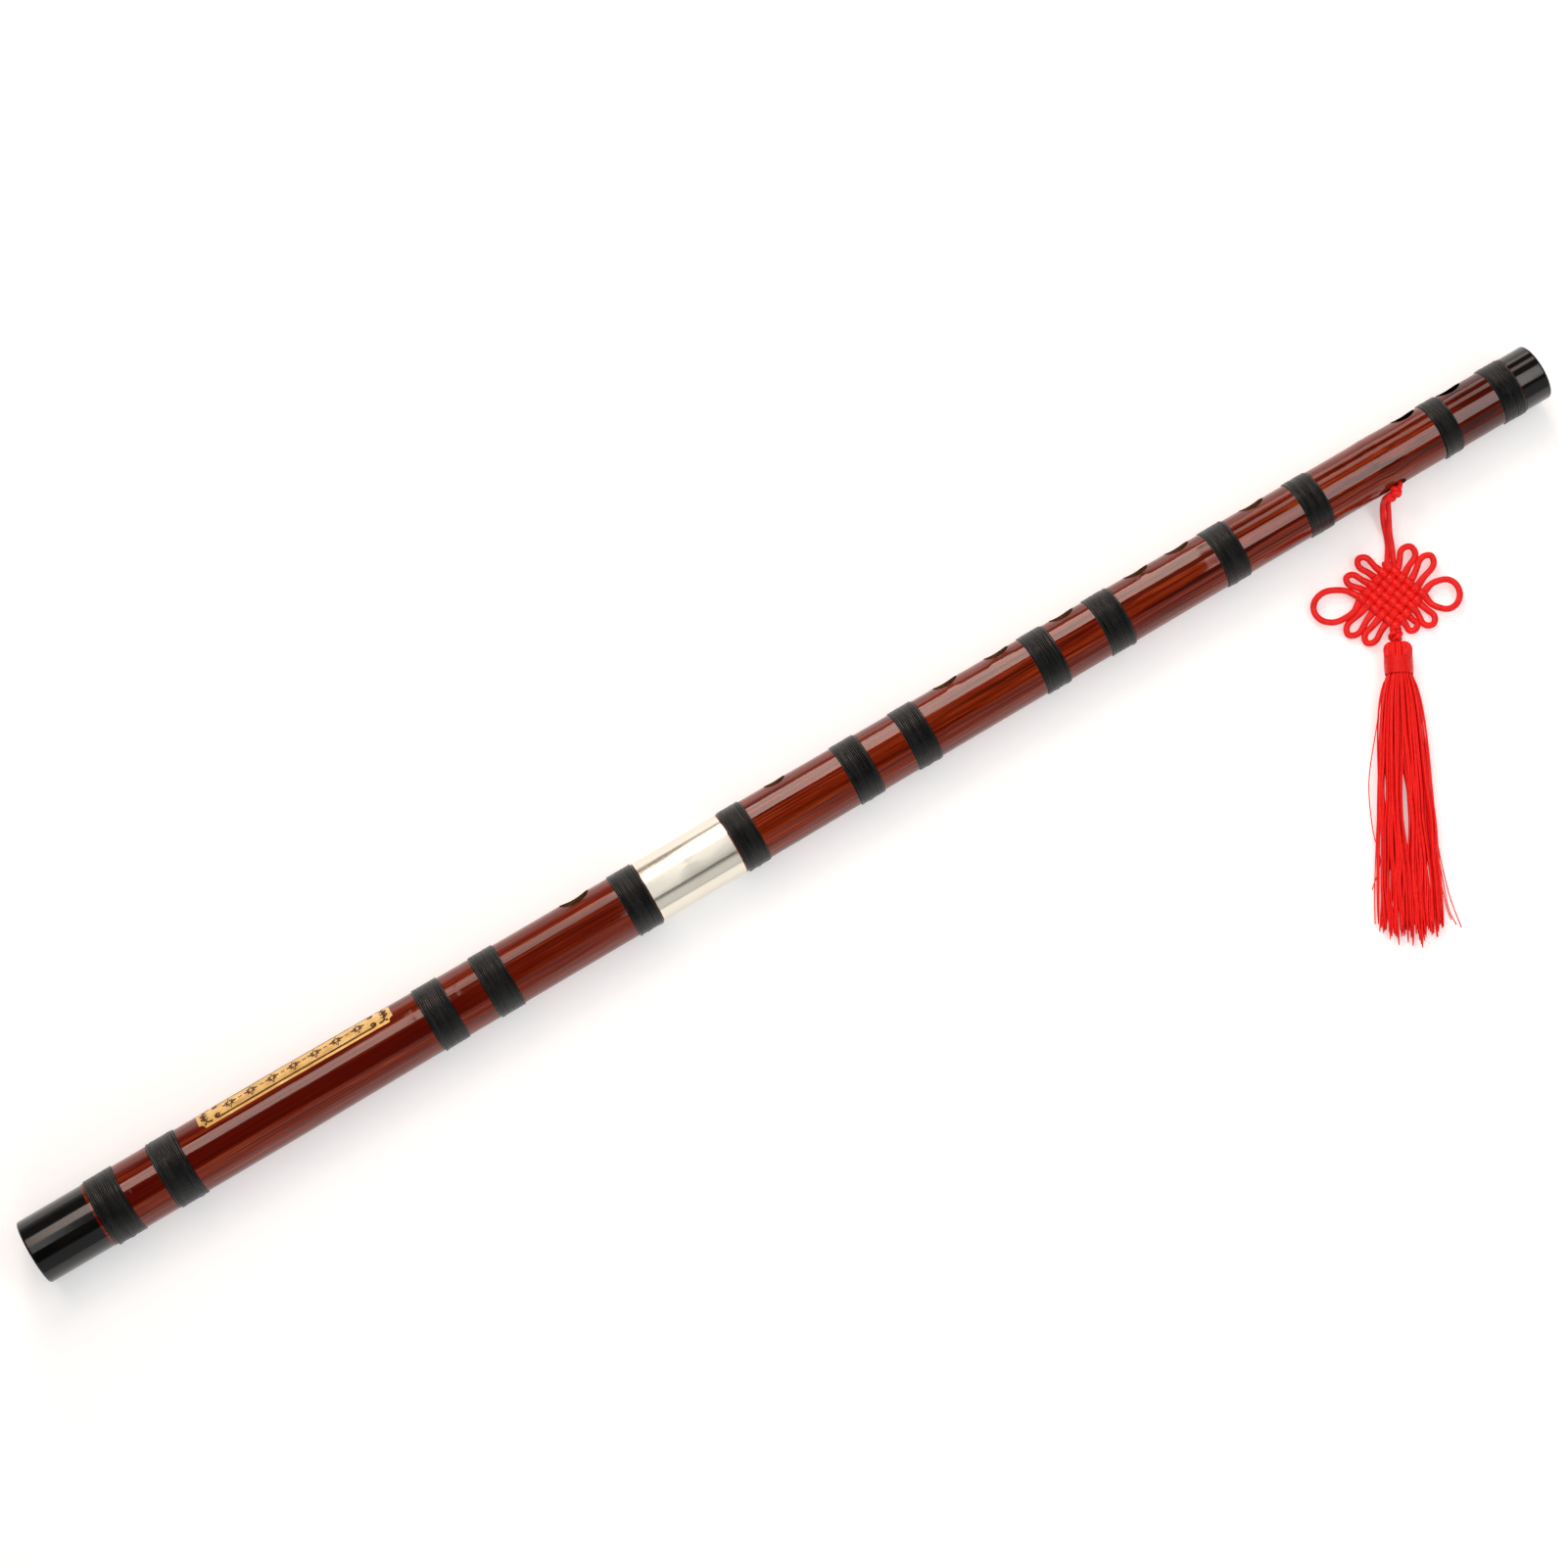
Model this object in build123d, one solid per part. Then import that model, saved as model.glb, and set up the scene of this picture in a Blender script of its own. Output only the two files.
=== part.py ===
from build123d import *
import math
import os

# Chinese bamboo transverse flute (dizi, key of D) in two sections, with a knotted cord pendant.
# Millimetres. The flute lies along X with its foot end towards +X, resting on z = 0.
# The origin is under the middle of the flute. Stations are distances from the head end.

# ---- whole flute
flute_length = 656.8
binding_stand = 0.45       # how far a thread binding stands out of the bamboo
seat_depth = 0.3           # how deep its seat is cut
hole_line_angle = 19.5     # blow, membrane and finger holes: degrees above +Y round the axis
back_line_angle = hole_line_angle + 180.0

# ---- head section
head_cap_end = 27.0
head_cap_diameter = 25.7
head_tube_end = 262.0
head_bore_radius = 8.6
blowing_end_radius = 8.9   # wider bore from the blowing end to the cork, which stops at its shoulder
head_profile = [
    (head_cap_end, 25.9),
    (43.0, 26.2),
    (108.0, 26.05),
    (126.0, 25.7),
    (142.0, 25.4),
    (162.0, 25.05),
    (184.0, 24.9),
    (216.0, 24.7),
    (head_tube_end, 24.6),
]
head_bindings = [(28.0, 40.5), (54.4, 66.6), (166.9, 178.3), (191.0, 202.1), (250.9, 261.7)]
cap_spigot_radius = 11.0
cap_lip = 3.0              # end wall of a cap beyond the bamboo inside it
cap_edge_radius = 0.9
blow_hole = (236.8, 12.4, 11.4)      # station, length along the tube, width round it
stopper_station = 222.0    # face of the cork towards the blow hole
stopper_length = 16.0
stopper_start = stopper_station - stopper_length
panel_start = 75.8
panel_end = 157.2
panel_angle = 40.0         # middle of the gilt panel, degrees above +Y
panel_half_angle = 24.5
panel_thickness = 0.12
panel_notch = 2.0          # corner notch of the panel
cutter_length = 20.0       # how far a hole or panel outline is extruded out from the axis

# ---- metal joint
ferrule_radius = 12.25
ferrule_wall = 0.7
joint_face = 297.9         # end of the ferrule
joint_gap = 0.1
liner_wall = 0.5
liner_bore_radius = 9.8
liner_start = 265.0
tenon_clearance = 0.03
tenon_wall = 0.97
tenon_start = 267.2
tenon_end = 311.5

# ---- tail section
tail_cap_start = 645.8
tail_cap_radius = 11.3
tail_spigot_radius = 9.9
tail_bore_radius = 8.4
foot_bore_radius = 8.7     # the bore is opened out at the foot
foot_bore_start = 595.0
tail_profile = [
    (joint_face + joint_gap, 24.5),
    (321.0, 24.4),
    (363.0, 23.95),
    (427.0, 23.55),
    (472.0, 23.2),
    (506.0, 23.0),
    (532.0, 22.75),
    (577.0, 22.5),
    (583.0, 22.85),        # the bamboo's own node, dressed down to a low swelling
    (587.0, 22.8),
    (594.0, 22.45),
    (628.0, 22.35),
    (tail_cap_start, 22.3),
]
tail_bindings = [
    (298.4, 308.5),
    (347.6, 358.6),
    (373.3, 383.9),
    (430.2, 441.0),
    (458.8, 469.9),
    (510.6, 521.2),
    (548.3, 558.7),
    (608.9, 617.2),
    (635.7, 645.5),
]
membrane_hole = (323.7, 9.0, 8.4)
finger_hole_stations = [398.2, 420.8, 449.5, 482.6, 500.8, 534.1]
finger_hole_size = (10.4, 9.4)
sound_hole_stations = [602.2, 622.8]
sound_hole_size = (10.4, 8.6)
rear_hole_station = 587.3
rear_hole_diameter = 6.8
rear_hole_spread = 28.5    # each side of the back line

# ---- pendant, lying on the same surface as the flute
cord_diameter = 2.2
corner_share = 0.45        # how much of the shorter run a cord's arc takes at each corner
knot_centre = Vector(236.3, -45.3, 2.9)
knot_angle = 26.0          # hanging direction, degrees from -Y towards -X
core_side = 18.6
core_thickness = 5.2
core_edge_radius = 1.8
core_corner_radius = 2.5
strand_pitch = 3.3
button_centre = Vector(229.1, -59.5, 3.2)
button_radius = 2.8
button_neck_radius = 1.3
tassel_angle = 29.4
tassel_head_start = 3.2    # distances from the middle of the button
wrap_start = 8.6
wrap_end = 15.3
tassel_head_radius = 5.4
tassel_rim_radius = 1.6    # rounding of the tassel's top
wrap_radius = 5.65
bundle_radius = 5.0
tassel_height = 5.75       # of the wrap's middle above the surface
# Skirt of the tassel: distance, height of the middle, half width and half thickness.
skirt = [(wrap_end, 5.75, 5.5, 5.4), (39.3, 4.9, 9.2, 4.5), (115.0, 3.2, 12.2, 3.0)]


def x_at(station):
    return station - flute_length / 2


def radius_at(station, profile):
    for (u0, d0), (u1, d1) in zip(profile, profile[1:]):
        if u0 <= station <= u1:
            return (d0 + (d1 - d0) * (station - u0) / (u1 - u0)) / 2
    raise ValueError(f"station {station} is off the profile")


# The flute rests on its thickest binding.
axis_height = max(radius_at((a + b) / 2, head_profile) for a, b in head_bindings) + binding_stand


def turned(points):
    """A solid of revolution round the flute's axis, from (station, radius) corners."""
    corners = [(x_at(u), r) for u, r in points]
    face = make_face(Polyline(*corners, close=True))
    return Pos(0, 0, axis_height) * revolve(face, Axis.X, 360)


def ring(start, end, inner, outer):
    return turned([(start, inner), (start, outer), (end, outer), (end, inner)])


def ring_disc(start, end, radius):
    return turned([(start, 0), (start, radius), (end, radius), (end, 0)])


def joint_socket_liner():
    return ring(liner_start, joint_face, liner_bore_radius, liner_bore_radius + liner_wall)


def joint_tenon():
    outer = liner_bore_radius - tenon_clearance
    return ring(tenon_start, tenon_end, outer - tenon_wall, outer)


def radial_plane(station, angle):
    """Plane on the flute's axis that looks out of the tube at an angle above +Y."""
    a = math.radians(angle)
    out = (0, math.cos(a), math.sin(a))
    return Plane(origin=(x_at(station), 0, axis_height), x_dir=(1, 0, 0), z_dir=out)


def hole_cutter(station, length, width, angle):
    face = radial_plane(station, angle) * Ellipse(length / 2, width / 2)
    return extrude(face, cutter_length)


def seated_profile(profile, bindings):
    """Outside of a bamboo tube as (station, radius) corners, with a seat cut for each binding."""
    corners = []
    for u, d in profile:
        if not any(a <= u <= b for a, b in bindings):
            corners.append((u, d / 2))
    for a, b in bindings:
        seat = radius_at((a + b) / 2, profile) - seat_depth
        corners.append((a, radius_at(a, profile)))
        corners.append((a, seat))
        corners.append((b, seat))
        corners.append((b, radius_at(b, profile)))
    return sorted(corners, key=corner_order(bindings))


def corner_order(bindings):
    """Along the tube; at a seat's start the outer corner is first, and at its end the inner one."""
    ends = [b for _, b in bindings]

    def order(corner):
        u, r = corner
        return (u, r if u in ends else -r)

    return order


def binding(span, profile):
    a, b = span
    middle = radius_at((a + b) / 2, profile)
    return ring(a, b, middle - seat_depth, middle + binding_stand)


def head_tube():
    spigot = ferrule_radius - ferrule_wall
    socket = liner_bore_radius + liner_wall
    corners = [(cap_lip, blowing_end_radius), (cap_lip, cap_spigot_radius)]
    corners += [(head_cap_end, cap_spigot_radius)]
    corners += seated_profile(head_profile, head_bindings)
    corners += [(head_tube_end, spigot), (joint_face, spigot), (joint_face, socket)]
    corners += [(liner_start, socket), (liner_start, head_bore_radius)]
    corners += [(stopper_start, head_bore_radius), (stopper_start, blowing_end_radius)]
    return turned(corners) - hole_cutter(*blow_hole, hole_line_angle)


def tail_tube():
    start = joint_face + joint_gap
    counterbore = liner_bore_radius - tenon_clearance
    end = flute_length - cap_lip
    corners = [(tenon_end, tail_bore_radius), (tenon_end, counterbore), (start, counterbore)]
    corners += seated_profile(tail_profile, tail_bindings)
    corners += [(tail_cap_start, tail_spigot_radius), (end, tail_spigot_radius)]
    corners += [(end, foot_bore_radius), (foot_bore_start, foot_bore_radius)]
    corners += [(foot_bore_start, tail_bore_radius)]
    tube = turned(corners) - hole_cutter(*membrane_hole, hole_line_angle)
    for station in finger_hole_stations:
        tube -= hole_cutter(station, *finger_hole_size, hole_line_angle)
    for station in sound_hole_stations:
        tube -= hole_cutter(station, *sound_hole_size, hole_line_angle)
    for side in (-1, 1):
        angle = back_line_angle + side * rear_hole_spread
        tube -= hole_cutter(rear_hole_station, rear_hole_diameter, rear_hole_diameter, angle)
    return tube


def end_cap(closed_end, open_end, outer, recess, bore):
    """Horn ring over a bamboo spigot: a lip at its closed end, rounded outside."""
    inwards = 1 if open_end > closed_end else -1
    lip = closed_end + inwards * cap_lip
    corners = [(closed_end, bore), (closed_end, outer), (open_end, outer)]
    corners += [(open_end, recess), (lip, recess), (lip, bore)]
    cap = turned(corners)
    rim = cap.edges().group_by(Axis.X)[0 if inwards > 0 else -1]
    return fillet(rim.sort_by(SortBy.RADIUS)[-1], cap_edge_radius)


def gilt_panel():
    """A thin curved leaf on the head section, with its corners notched."""
    start, end = panel_start, panel_end
    inner = [(u, d / 2) for u, d in head_profile if start < u < end]
    inner = [(start, radius_at(start, head_profile))] + inner + [(end, radius_at(end, head_profile))]
    outer = [(u, r + panel_thickness) for u, r in reversed(inner)]
    leaf = turned(inner + outer)
    half_width = head_profile[2][1] / 2 * math.sin(math.radians(panel_half_angle))
    length = end - start
    plane = radial_plane((start + end) / 2, panel_angle)
    outline = Rectangle(length, 2 * half_width)
    outline -= [
        Pos(sx * length / 2, sy * half_width) * Circle(panel_notch) for sx in (-1, 1) for sy in (-1, 1)
    ]
    return leaf & extrude(plane * outline, cutter_length)


def cord_tube(points):
    """A cord on straight runs joined by tangent arcs, each as large as its two runs allow."""
    points = [Vector(*p) for p in points]
    radii = []
    for before, corner, after in zip(points, points[1:], points[2:]):
        turn = math.radians((corner - before).get_angle(after - corner))
        shorter = min((corner - before).length, (after - corner).length)
        radii.append(corner_share * shorter / math.tan(turn / 2))
    path = FilletPolyline(*points, radius=radii)
    start = Plane(origin=points[0], z_dir=(points[1] - points[0]).normalized())
    tube = sweep(start * Circle(cord_diameter / 2), path=path)
    ideal = math.pi * cord_diameter**2 / 4 * path.length
    print(
        f"cord {path.length:.1f} mm, radii {[round(r, 1) for r in radii]},",
        f"volume against section x length {tube.volume / ideal:.4f}",
    )
    return tube


# Both strands leave the small hitch knot at the upper rear hole, run along the side of the tube
# and hang from the swing point, one half over the other, to the top of the knot.
cord_route_left = [
    (256.2, -13.1, 16.4),
    (254.0, -12.9, 15.9),
    (251.9, -12.9, 14.0),
    (251.9, -13.0, 11.3),
    (251.3, -13.6, 8.4),
    (250.0, -16.3, 6.1),
    (248.6, -20.0, 3.2),
    (247.8, -23.6, 1.5),
    (246.2, -27.3, 1.4),
    (243.8, -30.6, 2.0),
    (241.5, -33.5, 2.9),
    (240.2, -36.6, 2.9),
]
cord_route_right = [
    (255.4, -13.7, 15.4),
    (254.7, -13.7, 13.2),
    (254.7, -13.4, 10.8),
    (253.6, -13.9, 7.8),
    (252.3, -17.1, 6.0),
    (250.2, -20.9, 5.1),
    (248.5, -24.4, 3.9),
    (247.1, -27.9, 3.8),
    (245.6, -31.3, 3.4),
    (243.8, -34.5, 3.0),
    (242.2, -37.7, 3.0),
]
left_swing_index = 4       # first point of each route below the swing point
right_swing_index = 3

# The cord's bight: in at the upper rear hole, round inside the bore, out of the lower one and
# back up to the hitch knot.
hitch_route = [
    (257.5, -12.75, 16.55),
    (259.3, -12.0, 16.0),
    (259.3, -9.2, 15.2),
    (259.3, -5.4, 13.9),
    (259.3, -3.8, 10.2),
    (259.3, -6.2, 6.8),
    (259.1, -9.4, 4.2),
    (258.8, -12.5, 6.2),
    (258.7, -13.5, 10.6),
    (257.1, -13.45, 15.05),
]
hitch_knot_centre = Vector(256.2, -13.2, 16.6)
hitch_knot_radius = 2.1


def down(angle):
    a = math.radians(angle)
    return Vector(-math.sin(a), -math.cos(a), 0)


def knot_point(along, across, height=0.0):
    """A point of the lying knot: along its hanging direction, and across it towards the foot."""
    d = down(knot_angle)
    right = Vector(-d.Y, d.X, 0)
    return knot_centre + d * along + right * across + Vector(0, 0, height)


def hitch_knot():
    return Pos(hitch_knot_centre) * Sphere(hitch_knot_radius)


def knot_core():
    block = Box(core_side, core_side, core_thickness)
    block = fillet(block.edges().filter_by(Axis.Z), core_corner_radius)
    block = fillet(block.faces().filter_by(Axis.Z).edges(), core_edge_radius)
    return Pos(knot_centre) * Rot(0, 0, 45 - knot_angle) * block


# Ears of the knot: (along, across) of each foot at the core, then of the loop's far end, and its width.
small_ear_height = -1.2
small_ears = [
    ((-8.2, -4.6), (-14.6, -10.2), 4.8),
    ((-4.0, -8.6), (-8.2, -15.8), 4.8),
    ((-8.4, 5.0), (-18.6, 9.0), 4.8),
    ((-4.4, 8.4), (-14.0, 15.4), 5.0),
    ((4.0, -8.4), (13.4, -16.4), 4.8),
    ((8.4, -4.4), (17.0, -9.6), 4.6),
    ((4.2, 8.4), (10.4, 15.0), 4.8),
    ((8.2, 4.4), (13.4, 7.6), 4.2),
]
big_ear_height = 1.3
big_ears = [
    ((0.0, -11.0), (3.2, -28.6), 13.0),
    ((0.0, 11.0), (0.8, 24.4), 11.5),
]


ear_inset = 2.0            # how far an ear's feet go into the core
ear_shoulder = 0.9         # of an ear's half width: where its far end starts to narrow,
ear_flat = 0.55            # half the width left at the far end,
ear_rounding = 0.3         # and the radius of its corners


def ear(height, foot, tip, width):
    """A flat hairpin of cord from the core out to tip and back."""
    foot_point = knot_point(*foot, height)
    tip_point = knot_point(*tip, height)
    out = (tip_point - foot_point).normalized()
    side = Vector(-out.Y, out.X, 0)
    foot_half = strand_pitch / 2
    half = width / 2
    shoulder = out * half * ear_shoulder
    flat = side * half * ear_flat
    corners = [
        foot_point + side * foot_half - out * ear_inset,
        tip_point + side * half - shoulder,
        tip_point + flat,
        tip_point - flat,
        tip_point - side * half - shoulder,
        foot_point - side * foot_half - out * ear_inset,
    ]
    path = FilletPolyline(*corners, radius=[ear_rounding * half] * 4)
    start = Plane(origin=corners[0], z_dir=(corners[1] - corners[0]).normalized())
    return sweep(start * Circle(cord_diameter / 2), path=path)


def button_knot():
    neck_foot = knot_point(core_side / math.sqrt(2) - core_edge_radius, 0)
    reach = button_centre - neck_foot
    neck_plane = Plane(origin=neck_foot, z_dir=reach.normalized())
    neck = extrude(neck_plane * Circle(button_neck_radius), reach.length)
    return Pos(button_centre) * Sphere(button_radius) + neck - knot_core()


def tassel_plane(distance, height):
    """Plane across the tassel at a distance from the button, its first axis level."""
    d = down(tassel_angle)
    level = Vector(-d.Y, d.X, 0)
    centre = Vector(button_centre.X, button_centre.Y, 0) + d * distance + Vector(0, 0, height)
    return Plane(origin=centre, x_dir=level, z_dir=d)


def tassel_threads():
    head_length = wrap_start - tassel_head_start
    head_plane = tassel_plane(tassel_head_start, tassel_height)
    head = extrude(head_plane * Circle(tassel_head_radius), head_length)
    top = head.edges().sort_by_distance(button_centre)[0]
    head = fillet(top, tassel_rim_radius)
    neck_plane = tassel_plane(wrap_start, tassel_height)
    neck = extrude(neck_plane * Circle(bundle_radius), wrap_end - wrap_start)
    sections = [tassel_plane(d, height) * Ellipse(a, b) for d, height, a, b in skirt]
    return head + neck + loft(sections, ruled=True)


def tassel_wrap():
    plane = tassel_plane(wrap_start, tassel_height)
    return extrude(plane * (Circle(wrap_radius) - Circle(bundle_radius)), wrap_end - wrap_start)


def all_parts():
    parts = {
        "head_bamboo_tube": head_tube(),
        "head_end_cap": end_cap(
            0, head_cap_end, head_cap_diameter / 2, cap_spigot_radius, blowing_end_radius
        ),
        "cork_stopper": ring_disc(stopper_start, stopper_station, head_bore_radius),
        "gilt_panel": gilt_panel(),
        "joint_ferrule": ring(head_tube_end, joint_face, ferrule_radius - ferrule_wall, ferrule_radius),
        "joint_socket_liner": joint_socket_liner(),
        "tail_bamboo_tube": tail_tube(),
        "joint_tenon": joint_tenon(),
        "tail_end_cap": end_cap(
            flute_length, tail_cap_start, tail_cap_radius, tail_spigot_radius, foot_bore_radius
        ),
        "hitch_knot": hitch_knot(),
        "hitch_loop": cord_tube(hitch_route) - hitch_knot(),
        "hitch_strand_left": cord_tube(cord_route_left[:left_swing_index]) - hitch_knot(),
        "hitch_strand_right": cord_tube(cord_route_right[:right_swing_index]) - hitch_knot(),
        "pendant_cord_left": cord_tube(cord_route_left[left_swing_index:]) - knot_core(),
        "pendant_cord_right": cord_tube(cord_route_right[right_swing_index:]) - knot_core(),
        "knot_core": knot_core(),
        "knot_small_ears": Compound([ear(small_ear_height, *e) - knot_core() for e in small_ears]),
        "knot_big_ears": Compound([ear(big_ear_height, *e) - knot_core() for e in big_ears]),
        "button_knot": button_knot(),
        "tassel_threads": tassel_threads(),
        "tassel_wrap": tassel_wrap(),
    }
    for number, span in enumerate(head_bindings, 1):
        parts[f"head_binding_{number}"] = binding(span, head_profile)
    for number, span in enumerate(tail_bindings, 1):
        parts[f"tail_binding_{number}"] = binding(span, tail_profile)
    return parts


os.makedirs("parts", exist_ok=True)
for node, solid in all_parts().items():
    export_step(solid, f"parts/{node}.step")
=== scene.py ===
import math

import bpy
import numpy as np
from mathutils import Matrix, Vector


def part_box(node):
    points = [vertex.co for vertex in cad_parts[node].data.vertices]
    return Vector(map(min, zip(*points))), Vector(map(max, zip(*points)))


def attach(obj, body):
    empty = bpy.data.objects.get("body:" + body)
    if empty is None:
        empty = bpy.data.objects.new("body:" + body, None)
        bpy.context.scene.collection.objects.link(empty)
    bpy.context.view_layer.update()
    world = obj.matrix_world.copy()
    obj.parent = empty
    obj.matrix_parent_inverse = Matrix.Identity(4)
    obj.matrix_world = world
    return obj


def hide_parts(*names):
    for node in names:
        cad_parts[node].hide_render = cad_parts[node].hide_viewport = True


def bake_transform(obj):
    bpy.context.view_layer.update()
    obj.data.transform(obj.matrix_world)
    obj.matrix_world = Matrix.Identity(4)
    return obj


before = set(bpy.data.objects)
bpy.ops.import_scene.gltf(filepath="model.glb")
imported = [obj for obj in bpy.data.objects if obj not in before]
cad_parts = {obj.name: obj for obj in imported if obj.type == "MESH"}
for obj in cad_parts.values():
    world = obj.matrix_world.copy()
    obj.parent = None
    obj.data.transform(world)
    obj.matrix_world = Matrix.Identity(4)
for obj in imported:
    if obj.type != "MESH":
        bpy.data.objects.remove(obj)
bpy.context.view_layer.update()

# The looks of the bamboo flute with its knotted pendant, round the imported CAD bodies.
rng = np.random.default_rng(11)
MM = 0.001
TAU = 2 * math.pi


# ------------------------------------------------------------------ camera, fitted to the photograph
def facing_matrix(right, up, look, place):
    """The placement of a camera or lamp at place that looks along look."""
    rows = [[right[i], up[i], -look[i], place[i]] for i in range(3)]
    return Matrix(rows + [[0, 0, 0, 1]])


camera_place = Vector((-0.143542, -0.228627, 1.468690))
look_azimuth = math.radians(59.179)
look_depression = math.radians(79.218)
look = Vector((
    math.cos(look_azimuth) * math.cos(look_depression),
    math.sin(look_azimuth) * math.cos(look_depression),
    -math.sin(look_depression),
))
right = Vector((math.sin(look_azimuth), -math.cos(look_azimuth), 0))
up = right.cross(look)
camera = bpy.data.objects.new("camera", bpy.data.cameras.new("camera"))
camera.data.sensor_width = 36.0
camera.data.lens = 90.46
camera.data.clip_start = 0.05
camera.data.clip_end = 60.0
camera.matrix_world = facing_matrix(right, up, look, camera_place)
bpy.context.scene.collection.objects.link(camera)
bpy.context.scene.camera = camera

# ------------------------------------------------------------------ cord routes in mm, as in the CAD source
cord_route_left = [
    (256.2, -13.1, 16.4),
    (254.0, -12.9, 15.9),
    (251.9, -12.9, 14.0),
    (251.9, -13.0, 11.3),
    (251.3, -13.6, 8.4),
    (250.0, -16.3, 6.1),
    (248.6, -20.0, 3.2),
    (247.8, -23.6, 1.5),
    (246.2, -27.3, 1.4),
    (243.8, -30.6, 2.0),
    (241.5, -33.5, 2.9),
    (240.2, -36.6, 2.9),
]
cord_route_right = [
    (255.4, -13.7, 15.4),
    (254.7, -13.7, 13.2),
    (254.7, -13.4, 10.8),
    (253.6, -13.9, 7.8),
    (252.3, -17.1, 6.0),
    (250.2, -20.9, 5.1),
    (248.5, -24.4, 3.9),
    (247.1, -27.9, 3.8),
    (245.6, -31.3, 3.4),
    (243.8, -34.5, 3.0),
    (242.2, -37.7, 3.0),
]
hitch_route = [
    (257.5, -12.75, 16.55),
    (259.3, -12.0, 16.0),
    (259.3, -9.2, 15.2),
    (259.3, -5.4, 13.9),
    (259.3, -3.8, 10.2),
    (259.3, -6.2, 6.8),
    (259.1, -9.4, 4.2),
    (258.8, -12.5, 6.2),
    (258.7, -13.5, 10.6),
    (257.1, -13.45, 15.05),
]
cord_radius = 1.1 * MM


def route_points(name, route):
    """Points along one open NURBS spline through a route's control points."""
    data = bpy.data.curves.new(name, "CURVE")
    data.dimensions = "3D"
    data.resolution_u = 10
    spline = data.splines.new("NURBS")
    spline.points.add(len(route) - 1)
    for point, place in zip(spline.points, route):
        point.co = (place[0] * MM, place[1] * MM, place[2] * MM, 1)
    spline.order_u = 3
    spline.use_endpoint_u = True
    obj = bpy.data.objects.new(name, data)
    bpy.context.scene.collection.objects.link(obj)
    bpy.context.view_layer.update()
    depsgraph = bpy.context.evaluated_depsgraph_get()
    mesh = bpy.data.meshes.new_from_object(obj.evaluated_get(depsgraph))
    points = np.array([v.co for v in mesh.vertices], float)
    bpy.data.objects.remove(obj)
    bpy.data.meshes.remove(mesh)
    bpy.data.curves.remove(data)
    return points


# ------------------------------------------------------------------ shader helpers
class Nodes:
    """A node tree whose nodes are made one call at a time."""

    def __init__(self, tree):
        self.tree = tree
        self.coordinates = tree.nodes.new("ShaderNodeTexCoord")

    def put(self, socket, value):
        """Links a node's output to a socket, or sets the socket to a plain value."""
        if isinstance(value, bpy.types.NodeSocket):
            self.tree.links.new(value, socket)
        else:
            socket.default_value = value

    def node(self, kind, inputs=(), **settings):
        made = self.tree.nodes.new(kind)
        for key, value in settings.items():
            setattr(made, key, value)
        for key, value in dict(inputs).items():
            self.put(made.inputs[key], value)
        return made

    def math(self, operation, *values):
        made = self.node("ShaderNodeMath", operation=operation)
        for i, value in enumerate(values):
            self.put(made.inputs[i], value)
        return made.outputs[0]

    def place(self):
        return self.coordinates.outputs["Object"]

    def scaled(self, vector, scale, shift=(0, 0, 0)):
        made = self.node("ShaderNodeMapping", {"Vector": vector, "Scale": scale, "Location": shift})
        return made.outputs["Vector"]

    def noise(self, vector, detail=3.0, roughness=0.55, distortion=0.0):
        made = self.node("ShaderNodeTexNoise", {
            "Vector": vector, "Scale": 1.0, "Detail": detail,
            "Roughness": roughness, "Distortion": distortion,
        })
        return made.outputs["Fac"]

    def ramp(self, value, stops):
        made = self.node("ShaderNodeValToRGB", {"Fac": value})
        elements = made.color_ramp.elements
        while len(elements) < len(stops):
            elements.new(0.5)
        for element, (position, color) in zip(elements, stops):
            element.position = position
            element.color = (*color, 1)
        return made.outputs["Color"]

    def level(self, value, low, high, to_low=0.0, to_high=1.0):
        """Carries a value from the range low to high over to to_low to to_high, and holds it there."""
        made = self.node("ShaderNodeMapRange", {
            "Value": value, "From Min": low, "From Max": high, "To Min": to_low, "To Max": to_high,
        })
        return made.outputs["Result"]

    def mix(self, factor, a, b, blend="MIX"):
        made = self.node("ShaderNodeMix", data_type="RGBA", blend_type=blend)
        self.put(made.inputs[0], factor)
        for index, color in ((6, a), (7, b)):
            self.put(made.inputs[index], color if isinstance(color, bpy.types.NodeSocket) else (*color, 1))
        return made.outputs[2]

    def bump(self, height, strength, distance):
        made = self.node("ShaderNodeBump", {"Height": height, "Strength": strength, "Distance": distance})
        return made.outputs["Normal"]


class Shader(Nodes):
    """A material with one Principled surface."""

    def __init__(self, name):
        self.material = bpy.data.materials.new(name)
        self.material.use_nodes = True
        self.material.node_tree.nodes.clear()
        super().__init__(self.material.node_tree)
        self.surface = self.node("ShaderNodeBsdfPrincipled")
        self.node("ShaderNodeOutputMaterial", {"Surface": self.surface.outputs["BSDF"]})

    def set(self, **values):
        for key, value in values.items():
            self.put(self.surface.inputs[key.replace("_", " ")], value)


axis_z = sum(corner.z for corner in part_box("head_end_cap")) / 2
head_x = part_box("head_end_cap")[0].x
# Where the lacquer and its painted shade change along the flute, in the frame's x.
joint_x = (-0.031, -0.030)
top_shade_fade_x = (-0.150, -0.120)
bamboo_node_x = head_x + 0.584
sound_holes_x = (head_x + 0.592, head_x + 0.594)
dark_foot_x = (head_x + 0.611, head_x + 0.622)


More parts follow.
